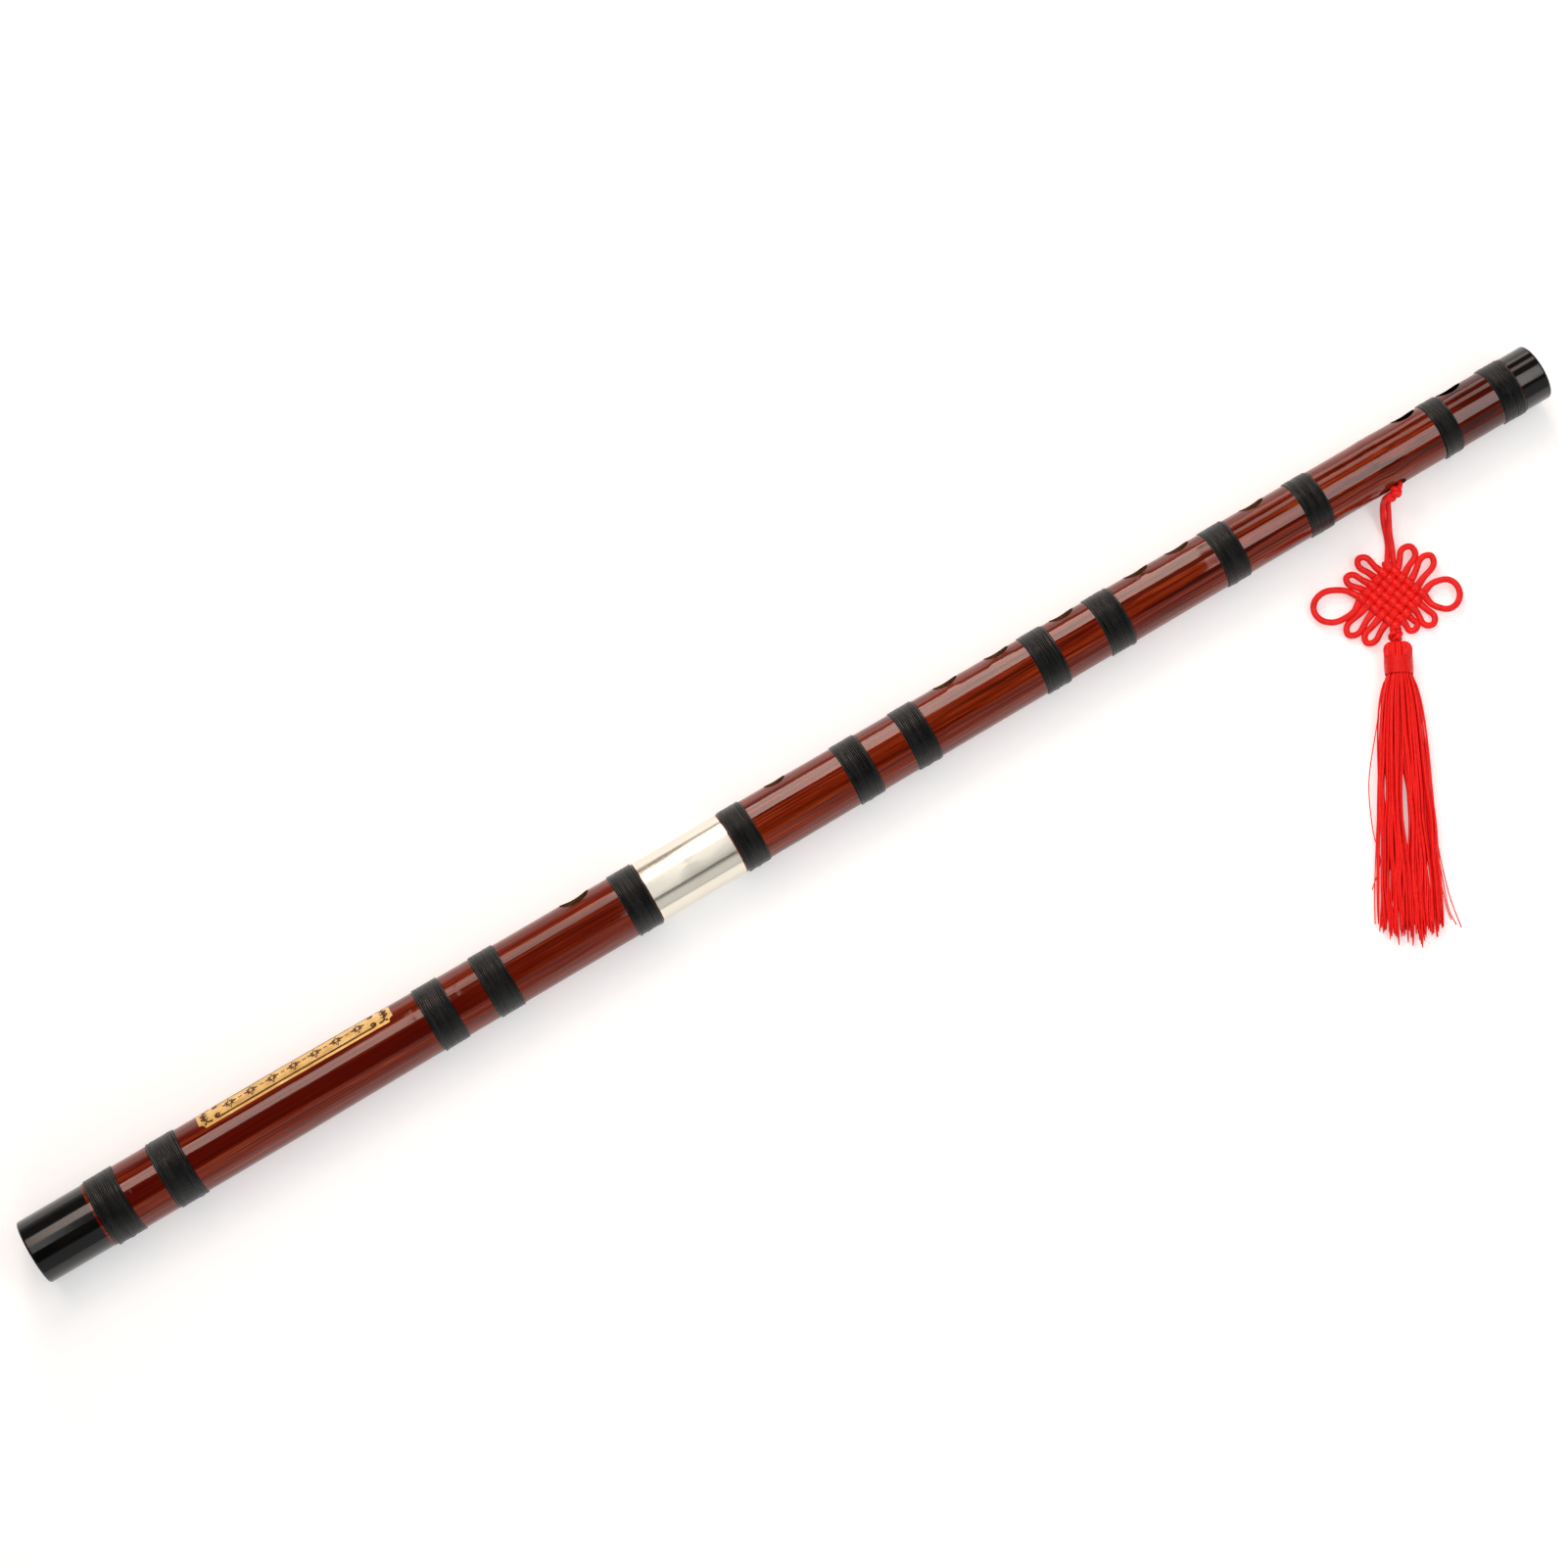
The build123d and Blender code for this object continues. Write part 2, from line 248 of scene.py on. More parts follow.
def around_axis(s):
    """The place measured from the flute's axis, and how far the surface there faces away from the axis."""
    moved = s.scaled(s.place(), (1, 1, 1), (0, 0, -axis_z))
    across = s.node("ShaderNodeVectorMath", {0: moved, 1: (0, 1, 1)}, operation="MULTIPLY").outputs[0]
    outward = s.node("ShaderNodeVectorMath", {0: across}, operation="NORMALIZE").outputs[0]
    normal = s.coordinates.outputs["Normal"]
    facing = s.node("ShaderNodeVectorMath", {0: outward, 1: normal}, operation="DOT_PRODUCT").outputs["Value"]
    return moved, facing


def lacquer_material():
    s = Shader("bamboo_lacquer")
    moved, facing = around_axis(s)
    along, y, z = (s.node("ShaderNodeSeparateXYZ", {0: moved}).outputs[k] for k in "XYZ")
    on_tail = s.level(along, *joint_x)
    # Near the bamboo's own node the fibres wander.
    from_node = s.math("ABSOLUTE", s.math("SUBTRACT", along, bamboo_node_x))
    wander = s.noise(s.scaled(moved, (70, 45, 45)), 2.0, 0.5)
    wander_size = s.level(from_node, 0.0, 0.028, 0.0026, 0.0003)
    push = s.math("MULTIPLY", wander_size, s.math("SUBTRACT", wander, 0.5))
    bent = s.node("ShaderNodeCombineXYZ", {
        0: along, 1: s.math("ADD", y, push), 2: s.math("ADD", z, push),
    }).outputs[0]
    broad = s.noise(s.scaled(bent, (7, 210, 210)), 3.0, 0.6)
    streak = s.noise(s.scaled(bent, (12, 760, 760)), 4.0, 0.62)
    fine = s.noise(s.scaled(bent, (40, 3000, 3000)), 3.0, 0.65)
    line = s.noise(s.scaled(bent, (10, 620, 620), (3, 1, 2)), 2.0, 0.5)
    grain = s.math("ADD", s.math("MULTIPLY", streak, 0.42), s.math("MULTIPLY", fine, 0.58))
    body = s.ramp(grain, [
        (0.32, (0.070, 0.0034, 0.0010)),
        (0.46, (0.142, 0.0105, 0.0022)),
        (0.58, (0.225, 0.0255, 0.0050)),
        (0.72, (0.340, 0.0620, 0.0150)),
    ])
    patches = s.ramp(broad, [(0.36, (0.66, 0.56, 0.50)), (0.64, (1.10, 1.22, 1.30))])
    body = s.mix(0.7, body, patches, "MULTIPLY")
    thin = s.noise(s.scaled(bent, (14, 1350, 1350), (2, 7, 4)), 2.0, 0.5)
    thin_tone = s.ramp(thin, [(0.40, (0.70, 0.62, 0.58)), (0.60, (1.24, 1.30, 1.32))])
    body = s.mix(1.0, body, thin_tone, "MULTIPLY")
    # Painted shade: the head's lacquer is darkened in a band along its top, with an uneven edge, and less so
    # near the joint.
    angle = s.math("ARCTAN2", z, y)
    uneven = s.math("MULTIPLY", s.math("SUBTRACT", broad, 0.5), 0.30)
    from_top = s.math("ABSOLUTE", s.math("ADD", s.math("SUBTRACT", angle, math.radians(103.0)), uneven))
    top_shade = s.math("MULTIPLY", s.level(from_top, 0.20, 0.36, 0.90, 0.0), s.math("SUBTRACT", 1.0, on_tail))
    top_shade = s.math("MULTIPLY", top_shade, s.level(along, *top_shade_fade_x, 1.0, 0.55))
    body = s.mix(top_shade, body, (0.066, 0.0022, 0.0010))
    # The last stretch before the foot's cap is darker.
    foot = s.math("MULTIPLY", s.level(along, *dark_foot_x), s.level(angle, 1.9, 2.4, 1.0, 0.8))
    body = s.mix(foot, body, (0.42, 0.30, 0.34), "MULTIPLY")
    # Thin dark lines, most of them on the tail.
    lined = s.math("MULTIPLY", s.level(line, 0.580, 0.625), s.level(on_tail, 0, 1, 0.25, 0.75))
    body = s.mix(lined, body, (0.030, 0.0020, 0.0010))
    # Bare bamboo in the holes' walls and at the ends, with painted shade that makes the bore near black.
    cut_grain = s.noise(s.scaled(moved, (700, 1500, 1500)), 4.0, 0.7)
    cut = s.ramp(cut_grain, [(0.3, (0.050, 0.020, 0.008)), (0.7, (0.200, 0.090, 0.035))])
    cut = s.mix(s.level(facing, -0.75, -0.45, 1.0, 0.0), cut, (0.004, 0.0025, 0.002))
    # The sound holes near the foot are black inside.
    cut = s.mix(s.level(along, *sound_holes_x), cut, (0.003, 0.002, 0.002))
    outside = s.level(facing, 0.55, 0.80)
    color = s.mix(outside, cut, body)
    ripple = s.noise(s.scaled(moved, (14, 330, 330), (1, 5, 2)), 2.0, 0.5)
    relief = s.math("ADD", s.math("MULTIPLY", streak, 0.4), ripple)
    s.set(
        Base_Color=color,
        Roughness=s.level(outside, 0, 1, 0.7, 0.45),
        Specular_IOR_Level=0.0,
        Normal=s.bump(grain, 0.25, 0.0001),
        Coat_Weight=outside,
        Coat_Roughness=s.level(fine, 0.3, 0.8, 0.025, 0.075),
        Coat_IOR=1.46,
        Coat_Normal=s.bump(relief, 0.30, 0.00012),
    )
    return s.material


def horn_material():
    s = Shader("black_horn")
    moved, _ = around_axis(s)
    cloud = s.noise(s.scaled(moved, (40, 160, 160)), 4.0, 0.6, 0.6)
    scratch = s.noise(s.scaled(moved, (2600, 220, 220)), 2.0, 0.6)
    color = s.ramp(cloud, [(0.35, (0.0022, 0.0022, 0.0022)), (0.75, (0.0080, 0.0068, 0.0060))])
    s.set(
        Base_Color=color,
        Roughness=s.level(scratch, 0.3, 0.75, 0.10, 0.20),
        Specular_IOR_Level=0.20,
        Normal=s.bump(scratch, 0.06, 0.00005),
        Coat_Weight=0.60,
        Coat_Roughness=0.09,
    )
    return s.material


def binding_material():
    s = Shader("waxed_black_thread")
    moved, _ = around_axis(s)
    fibre = s.noise(s.scaled(moved, (5200, 700, 700)), 3.0, 0.6)
    wear = s.noise(s.scaled(moved, (260, 120, 120)), 3.0, 0.6)
    rows = s.noise(s.scaled(moved, (780, 34, 34)), 2.0, 0.55)
    color = s.ramp(s.math("ADD", s.math("MULTIPLY", fibre, 0.5), s.math("MULTIPLY", wear, 0.5)), [
        (0.35, (0.0018, 0.0018, 0.0018)), (0.68, (0.0062, 0.0060, 0.0060)),
    ])
    row_tone = s.ramp(rows, [(0.38, (0.15, 0.15, 0.15)), (0.62, (2.3, 2.3, 2.3))])
    color = s.mix(1.0, color, row_tone, "MULTIPLY")
    # Painted shade: each thread is darkened to near black away from its crown, in the grooves between the
    # turns.
    round_thread = s.node("ShaderNodeSeparateXYZ", {0: s.coordinates.outputs["UV"]}).outputs["Y"]
    from_crown = s.math("ABSOLUTE", s.math("SUBTRACT", round_thread, 0.25))
    color = s.mix(s.level(from_crown, 0.07, 0.17), color, (0.0010, 0.0010, 0.0010))
    s.set(
        Base_Color=color,
        Roughness=s.level(wear, 0.3, 0.7, 0.26, 0.40),
        Specular_IOR_Level=0.34,
        Normal=s.bump(s.math("ADD", s.math("MULTIPLY", fibre, 0.12), rows), 0.85, 0.00080),
        Coat_Weight=0.15,
        Coat_Roughness=0.18,
    )
    return s.material


def nickel_material(name, tint, rough):
    s = Shader(name)
    moved, _ = around_axis(s)
    brushed = s.noise(s.scaled(moved, (30, 5200, 5200)), 4.0, 0.7)
    cloud = s.noise(s.scaled(moved, (60, 90, 90)), 3.0, 0.6)
    dark = tuple(0.92 * c for c in tint)
    color = s.ramp(s.math("ADD", s.math("MULTIPLY", brushed, 0.6), s.math("MULTIPLY", cloud, 0.4)), [
        (0.30, dark), (0.65, tint),
    ])
    s.set(
        Base_Color=color,
        Metallic=1.0,
        Roughness=s.level(cloud, 0.3, 0.7, rough - 0.01, rough + 0.02),
        Anisotropic=0.35,
        Normal=s.bump(brushed, 0.04, 0.00002),
    )
    return s.material


def cork_material():
    s = Shader("cork")
    grains = s.node("ShaderNodeTexVoronoi", {"Vector": s.scaled(s.place(), (900, 900, 900)), "Scale": 1.0})
    speck = s.noise(s.scaled(s.place(), (1400, 1400, 1400)), 3.0)
    color = s.ramp(speck, [(0.35, (0.16, 0.08, 0.035)), (0.6, (0.52, 0.34, 0.17))])
    s.set(Base_Color=color, Roughness=0.85, Normal=s.bump(grains.outputs["Distance"], 0.5, 0.0003))
    return s.material


def gold_material():
    s = Shader("gold_leaf")
    moved, _ = around_axis(s)
    cloud = s.noise(s.scaled(moved, (140, 320, 320)), 4.0, 0.65)
    wear = s.noise(s.scaled(moved, (900, 900, 900)), 4.0, 0.7)
    color = s.ramp(cloud, [
        (0.32, (0.64, 0.36, 0.095)), (0.55, (0.84, 0.53, 0.170)), (0.75, (0.94, 0.70, 0.31)),
    ])
    color = s.mix(s.level(wear, 0.60, 0.74, 0.0, 0.75), color, (0.30, 0.13, 0.035))
    s.set(
        Base_Color=color,
        Metallic=0.55,
        Roughness=s.level(wear, 0.3, 0.7, 0.30, 0.48),
        Normal=s.bump(wear, 0.18, 0.00004),
        Coat_Weight=0.25,
        Coat_Roughness=0.08,
    )
    return s.material


def print_material():
    s = Shader("ornament_print")
    ink = s.noise(s.scaled(s.place(), (1100, 1100, 1100)), 3.0)
    color = s.ramp(ink, [(0.35, (0.060, 0.018, 0.006)), (0.7, (0.150, 0.050, 0.016))])
    s.set(Base_Color=color, Roughness=0.5, Specular_IOR_Level=0.15)
    return s.material


def cord_material():
    """Braided satin cord; its map runs in centimetres along the cord and in turns round it."""
    s = Shader("red_satin_cord")
    axes = s.node("ShaderNodeSeparateXYZ", {0: s.coordinates.outputs["UV"]}).outputs
    along = s.math("MULTIPLY", axes["X"], 11.0)
    turn = s.math("MULTIPLY", axes["Y"], 5.0)
    left_lay = s.math("SINE", s.math("MULTIPLY", s.math("ADD", along, turn), TAU))
    right_lay = s.math("SINE", s.math("MULTIPLY", s.math("SUBTRACT", along, turn), TAU))
    braid = s.math("MAXIMUM", left_lay, right_lay)
    thread = s.noise(s.scaled(s.coordinates.outputs["UV"], (40, 34, 1)), 2.0, 0.6)
    tone = s.noise(s.scaled(s.place(), (330, 330, 330)), 3.0)
    color = s.ramp(tone, [(0.3, (0.80, 0.0060, 0.0050)), (0.7, (0.98, 0.0130, 0.0090))])
    # Painted shade: the braid is darkened in the grooves between its strands.
    color = s.mix(s.level(braid, -0.6, 0.6, 0.38, 0.0), color, (0.34, 0.001, 0.001))
    relief = s.math("ADD", braid, s.math("MULTIPLY", thread, 0.5))
    s.set(
        Base_Color=color,
        Roughness=0.42,
        Specular_IOR_Level=0.30,
        Normal=s.bump(relief, 0.40, 0.00012),
    )
    return s.material


def silk_material(name, low, high, rough, shine):
    """Twisted silk threads, low to high in redness; their map runs like the cord's."""
    s = Shader(name)
    axes = s.node("ShaderNodeSeparateXYZ", {0: s.coordinates.outputs["UV"]}).outputs
    twist = s.math("ADD", s.math("MULTIPLY", axes["X"], 9.0), s.math("MULTIPLY", axes["Y"], 2.0))
    ply = s.math("SINE", s.math("MULTIPLY", twist, TAU))
    tone = s.noise(s.scaled(s.place(), (900, 900, 90)), 3.0)
    color = s.ramp(tone, [(0.3, (low, 0.0060, 0.0050)), (0.7, (high, 0.0140, 0.0100))])
    # Painted shade: the threads are darkened in the grooves between their plies.
    color = s.mix(s.level(ply, -1.0, 1.0, 0.12, 0.0), color, (0.30, 0.001, 0.001))
    s.set(
        Base_Color=color,
        Roughness=rough,
        Specular_IOR_Level=shine,
        Normal=s.bump(ply, 0.35, 0.00008),
    )
    return s.material


def floor_material():
    s = Shader("pale_table")
    tone = s.noise(s.scaled(s.place(), (3, 3, 3)), 2.0)
    color = s.ramp(tone, [(0.3, (0.76, 0.76, 0.76)), (0.7, (0.80, 0.80, 0.80))])
    s.set(Base_Color=color, Roughness=0.7, Emission_Color=(1.0, 1.0, 1.0, 1), Emission_Strength=0.34)
    return s.material


lacquer = lacquer_material()
horn = horn_material()
thread_black = binding_material()
nickel = nickel_material("nickel_silver", (0.83, 0.78, 0.67), 0.18)
brass_tube = nickel_material("turned_joint_tube", (0.80, 0.68, 0.42), 0.33)
cork = cork_material()
gold = gold_material()
ornament_ink = print_material()
satin = cord_material()
silk = silk_material("red_silk_thread", 0.86, 1.00, 0.34, 0.25)
silk_wound = silk_material("red_silk_wound", 0.80, 0.95, 0.26, 0.30)


# ------------------------------------------------------------------ mesh helpers
class Builder:
    """Collects grids of points into one mesh, with a map along and round each grid."""

    def __init__(self):
        self.points = []
        self.faces = []
        self.map = []
        self.count = 0

    def grid(self, rings, wrap=True, loop=False, caps=False):
        """Rings of points, joined one to the next; wrap closes each ring and loop closes the row of rings."""
        rings = np.asarray(rings, float)
        n, m = rings.shape[:2]
        steps = np.linalg.norm(np.diff(rings.mean(1), axis=0), axis=1)
        lengths = np.concatenate([[0], np.cumsum(steps)]) * 100
        base = self.count
        last = n if loop else n - 1
        around = m if wrap else m - 1
        for i in range(last):
            a, b = base + i * m, base + ((i + 1) % n) * m
            u0 = lengths[i]
            u1 = lengths[i + 1] if i + 1 < n else lengths[-1] + lengths[1] - lengths[0]
            for j in range(around):
                k = (j + 1) % m
                self.faces.append((a + j, a + k, b + k, b + j))
                v0, v1 = j / around, (j + 1) / around
                self.map += [u0, v0, u0, v1, u1, v1, u1, v0]
        if caps:
            self.faces.append(tuple(base + j for j in reversed(range(m))))
            self.map += [lengths[0], 0.5] * m
            self.faces.append(tuple(base + (n - 1) * m + j for j in range(m)))
            self.map += [lengths[-1], 0.5] * m
        self.points.append(rings.reshape(-1, 3))
        self.count += n * m

    def fan(self, outline):
        """A flat polygon as triangles round its middle."""
        outline = np.asarray(outline, float)
        base = self.count
        m = len(outline)
        self.points.append(np.vstack([outline, outline.mean(0)]))
        for j in range(m):
            self.faces.append((base + j, base + (j + 1) % m, base + m))
            self.map += [0, 0, 1, 0, 0.5, 1]
        self.count += m + 1

    def make(self, name, material):
        mesh = bpy.data.meshes.new(name)
        mesh.from_pydata(np.concatenate(self.points).tolist(), [], self.faces)
        layer = mesh.uv_layers.new(name="along_and_round")
        layer.data.foreach_set("uv", np.array(self.map, np.float32))
        mesh.polygons.foreach_set("use_smooth", np.ones(len(mesh.polygons), bool))
        mesh.materials.append(material)
        mesh.update()
        obj = bpy.data.objects.new(name, mesh)
        bpy.context.scene.collection.objects.link(obj)
        return obj


def unit(v):
    return v / np.maximum(np.linalg.norm(v, axis=-1, keepdims=True), 1e-12)


def tangents(points, closed=False):
    if closed:
        return unit(np.roll(points, -1, 0) - np.roll(points, 1, 0))
    return unit(np.gradient(points, axis=0))


def tube_rings(points, width, height, sides, ups=None, closed=False):
    """Rings of an oval section along a line; width lies across ups, and height along it."""
    points = np.asarray(points, float)
    t = tangents(points, closed)
    if ups is None:
        first = np.cross(t[0], (0.3, 0.2, 1.0))
        normals = [unit(first)]
        for direction in t[1:]:
            carried = normals[-1] - direction * np.dot(normals[-1], direction)
            normals.append(unit(carried))
        side = np.array(normals)
    else:
        side = unit(np.cross(t, np.broadcast_to(ups, t.shape)))
    over = np.cross(side, t)
    angles = np.arange(sides) * TAU / sides
    w = np.broadcast_to(width, len(points))[:, None, None]
    h = np.broadcast_to(height, len(points))[:, None, None]
    c, s = np.cos(angles)[None, :, None], np.sin(angles)[None, :, None]
    return points[:, None, :] + side[:, None, :] * w * c + over[:, None, :] * h * s


def smooth_line(points, per_span):
    """Catmull-Rom curve through points."""
    p = np.asarray(points, float)
    q = np.vstack([2 * p[0] - p[1], p, 2 * p[-1] - p[-2]])
    t = np.arange(per_span)[:, None] / per_span
    out = []
    for i in range(len(p) - 1):
        a, b, c, d = q[i], q[i + 1], q[i + 2], q[i + 3]
        out.append(0.5 * (
            2 * b + (c - a) * t + (2 * a - 5 * b + 4 * c - d) * t**2 + (3 * b - a - 3 * c + d) * t**3
        ))
    return np.vstack([*out, p[-1]])


def softened(points, rounds, closed=False):
    """Evens out a line by moving each point towards its neighbours."""
    p = np.array(points, float)
    for _ in range(rounds):
        moved = (np.roll(p, 1, 0) + 2 * p + np.roll(p, -1, 0)) / 4
        if not closed:
            moved[0], moved[-1] = p[0], p[-1]
        p = moved
    return p


# ------------------------------------------------------------------ CAD nodes that are shown as they are
node_materials = {
    "head_bamboo_tube": (lacquer, "bamboo"),
    "tail_bamboo_tube": (lacquer, "bamboo"),
    "head_end_cap": (horn, "horn"),
    "tail_end_cap": (horn, "horn"),
    "cork_stopper": (cork, "cork"),
    "joint_ferrule": (nickel, "nickel_silver"),
    "joint_socket_liner": (brass_tube, "nickel_silver"),
    "joint_tenon": (brass_tube, "nickel_silver"),
}
for node, (material, slot_name) in node_materials.items():
    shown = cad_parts[node]
    shown.data.materials.clear()
    shown.data.materials.append(material)


# ------------------------------------------------------------------ thread bindings
def on_axis(x, angle, radius):
    """A point round the flute: angle in radians above +Y."""
    return np.stack([x, radius * np.cos(angle), axis_z + radius * np.sin(angle)], -1)


def wound_ring(builder, start, end, outer, pitch, thickness, wander):
    """Thread wound side by side on a smooth bed, with three lumps where its ends lap under it."""
    lump_places = (0.12, 0.5, 0.86)
    lump_height, lump_length, lump_turn = 0.26 * MM, 0.8 * MM, 0.16
    bed_inset = 0.05 * MM
    turns = round((end - start) / pitch)
    segments = 96
    count = turns * segments + 1
    t = np.linspace(0, turns, count)
    half = (end - start) / turns / 2
    drift = 0.35 * np.interp(t, np.arange(turns + 1), rng.normal(0, wander, turns + 1))
    sag = np.interp(t, np.linspace(0, turns, turns * 3 + 1), rng.normal(0, 0.5 * wander, turns * 3 + 1))
    x = start + half + (end - start - 2 * half) * t / turns + drift
    angle = t * TAU - 0.6 * math.pi
    radius = outer - thickness + sag
    for place in lump_places:
        lump_x = start + (end - start) * (place + rng.normal(0, 0.05))
        lump_angle = math.radians(rng.uniform(188, 212))
        off = np.angle(np.exp(1j * (angle - lump_angle)))
        radius = radius + lump_height * np.exp(-((x - lump_x) / lump_length)**2 - (off / lump_turn)**2)
    line = on_axis(x, angle, radius)
    ups = on_axis(np.zeros(count), angle, 1.0) - (0, 0, axis_z)
    builder.grid(tube_rings(line, half * 1.04, thickness, 8, ups), caps=True)
    bed = np.linspace(0, TAU, segments, endpoint=False)
    bed_radius = np.full(segments, outer - 1.5 * thickness)
    bed_ends = (start + bed_inset, end - bed_inset)
    builder.grid([on_axis(np.full(segments, bed_x), bed, bed_radius) for bed_x in bed_ends])


thread_pitch = 0.85 * MM
thread_radius = 0.38 * MM
thread_wander = 0.06 * MM
for node in sorted(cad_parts):
    if "_binding_" in node:
        low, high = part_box(node)
        builder = Builder()
        outer = (high.z - low.z) / 2
        wound_ring(builder, low.x, high.x, outer, thread_pitch, thread_radius, thread_wander)
        wound = builder.make(node + "_threads", thread_black)
        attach(wound, "head_section" if node.startswith("head") else "tail_section")
        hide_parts(node)


# ------------------------------------------------------------------ gilt panel
panel_low, panel_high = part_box("gilt_panel")
panel_angle = math.radians(40.0)
panel_half_angle = math.radians(24.5)
panel_end = (panel_high.x - panel_low.x) / MM / 2
panel_middle_x = (panel_high.x + panel_low.x) / 2
panel_lift = 0.12 * MM
panel_base = 0.01 * MM
panel_notch = 2.0
# The bamboo's outside along the panel, as in the CAD source: station and diameter in mm.
bamboo_profile = np.array([(75.8, 26.13), (108.0, 26.05), (126.0, 25.7), (142.0, 25.4), (157.2, 25.12)])
panel_half_width = bamboo_profile[1, 1] / 2 * math.sin(panel_half_angle)


def panel_place(u, v, lift):
    """A point of the panel: u mm along from its middle, v mm across in its flat outline, lift in metres."""
    u, v = np.asarray(u, float), np.asarray(v, float)
    x = panel_middle_x + u * MM
    radius = np.interp((x - head_x) / MM, bamboo_profile[:, 0], bamboo_profile[:, 1]) / 2
    angle = panel_angle + np.arcsin(np.clip(v / radius, -0.99, 0.99))
    return on_axis(x, angle, radius * MM + lift)


def panel_half_width_at(u):
    """Half width of the panel in mm, with a quarter circle cut out of each corner."""
    from_end = panel_end - np.abs(u)
    bow = np.sqrt(np.clip(panel_notch**2 - np.clip(from_end, 0, panel_notch)**2, 0, None))
    return np.where(from_end < panel_notch, panel_half_width - bow, panel_half_width)


end_steps = np.linspace(0, panel_notch, 16)
straight = panel_end - panel_notch - 0.6
columns = np.concatenate([
    -panel_end + end_steps, np.linspace(-straight, straight, 90), panel_end - end_steps[::-1],
])
across = np.linspace(-1, 1, 33)


def panel_row(u, shares, lift):
    """A row of points across the panel at u, at the given shares of its half width."""
    return panel_place(np.full(len(shares), u), shares * panel_half_width_at(u), lift)


leaf = Builder()
leaf.grid([
    np.vstack([panel_row(u, across, panel_lift), panel_row(u, across[::-1], panel_base)]) for u in columns
], caps=True)
panel = leaf.make("gilt_panel_leaf", gold)
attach(panel, "head_section")
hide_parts("gilt_panel")

ink = Builder()
ink_lift = panel_lift + 0.02 * MM


def ribbon(points, widths):
    """A printed line of changing width; points are (u, v) in mm."""
    p = np.asarray(points, float)
    t = tangents(p)
    n = np.stack([-t[:, 1], t[:, 0]], -1)
    w = np.broadcast_to(widths, len(p))[:, None] / 2
    edge_a, edge_b = p + n * w, p - n * w
    rings = np.stack([panel_place(e[:, 0], e[:, 1], ink_lift) for e in (edge_b, edge_a)], 1)
    ink.grid(rings, wrap=False)


def leaf_shape(u, v, angle, length, width):
    """A pointed petal or leaf that starts at (u, v)."""
    s = np.linspace(0, 1, 10)
    half = width / 2 * np.sin(math.pi * s**0.8)
    xs = np.concatenate([s, s[-2:0:-1]]) * length
    ys = np.concatenate([half, -half[-2:0:-1]])
    c, d = math.cos(angle), math.sin(angle)
    ink.fan(panel_place(u + xs * c - ys * d, v + xs * d + ys * c, ink_lift))


def scroll(u, v, size, turn, flip):
    """A curl that opens from (u, v)."""
    a = np.linspace(0, 1.6 * TAU, 46)
    r = size * (1 - a / a[-1] * 0.86)
    angle = turn + flip * a
    centre = np.array([u, v]) - size * np.array([math.cos(turn), math.sin(turn)])
    line = centre + np.stack([r * np.cos(angle), r * np.sin(angle)], -1)
    ribbon(line, np.linspace(0.80, 0.50, len(a)))


border_half_width = panel_half_width - 1.4
border_half_length = panel_end - 8.0
flowers, flower_pitch, petals = 7, 9.0, 8
for side in (-1, 1):
    run = np.linspace(-border_half_length, border_half_length, 80)
    ribbon(np.stack([run, np.full(80, side * border_half_width)], -1), 0.75)
for end in (-1, 1):
    for side in (-1, 1):
        scroll(end * border_half_length, side * border_half_width, 1.15, side * math.pi / 2, -side * end)
        scroll(end * (panel_end - 2.2), side * 2.2, 0.95, math.pi / 2 * side, side * end)
        bend_points = ((5.6, 3.9), (3.9, 3.6), (3.2, 2.5), (4.4, 1.3))
        bend = smooth_line([(end * (panel_end - inset), side * v) for inset, v in bend_points], 8)
        ribbon(bend, np.linspace(0.9, 0.5, len(bend)))
        leaf_shape(end * (panel_end - 3.2), side * 3.3, math.atan2(side, end), 1.7, 0.9)
    leaf_shape(end * (panel_end - 4.4), 0.0, 0.0 if end > 0 else math.pi, 2.6, 1.2)
for k in range(flowers):
    middle = (k - (flowers - 1) / 2) * flower_pitch
    for j in range(petals):
        angle = j * TAU / petals
        length, width = (1.9, 0.9) if j % 2 else (2.7, 1.25)
        leaf_shape(middle + 0.5 * math.cos(angle), 0.5 * math.sin(angle), angle, length, width)
    if k < flowers - 1:
        for way in (0.0, math.pi):
            leaf_shape(middle + flower_pitch / 2, 0.0, way, 0.9, 0.9)
ornament = ink.make("gilt_panel_ornament", ornament_ink)
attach(ornament, "head_section")

# ------------------------------------------------------------------ pendant cords
# Each cord runs along its route over the gap at the hinge, from one body to the other; it is baked in place
# and attached to neither.
for side_name, route in (("left", cord_route_left), ("right", cord_route_right)):
    line = route_points("route_" + side_name, route)
    builder = Builder()
    builder.grid(tube_rings(line, cord_radius, cord_radius, 16), caps=True)
    cord = builder.make("pendant_cord_" + side_name + "_braid", satin)
    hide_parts("hitch_strand_" + side_name, "pendant_cord_" + side_name)
    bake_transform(cord)

builder = Builder()
hitch_line = route_points("route_hitch", hitch_route)
builder.grid(tube_rings(hitch_line, cord_radius, cord_radius, 16), caps=True)
hitch_bight = builder.make("hitch_bight", satin)
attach(hitch_bight, "tail_section")
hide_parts("hitch_loop")


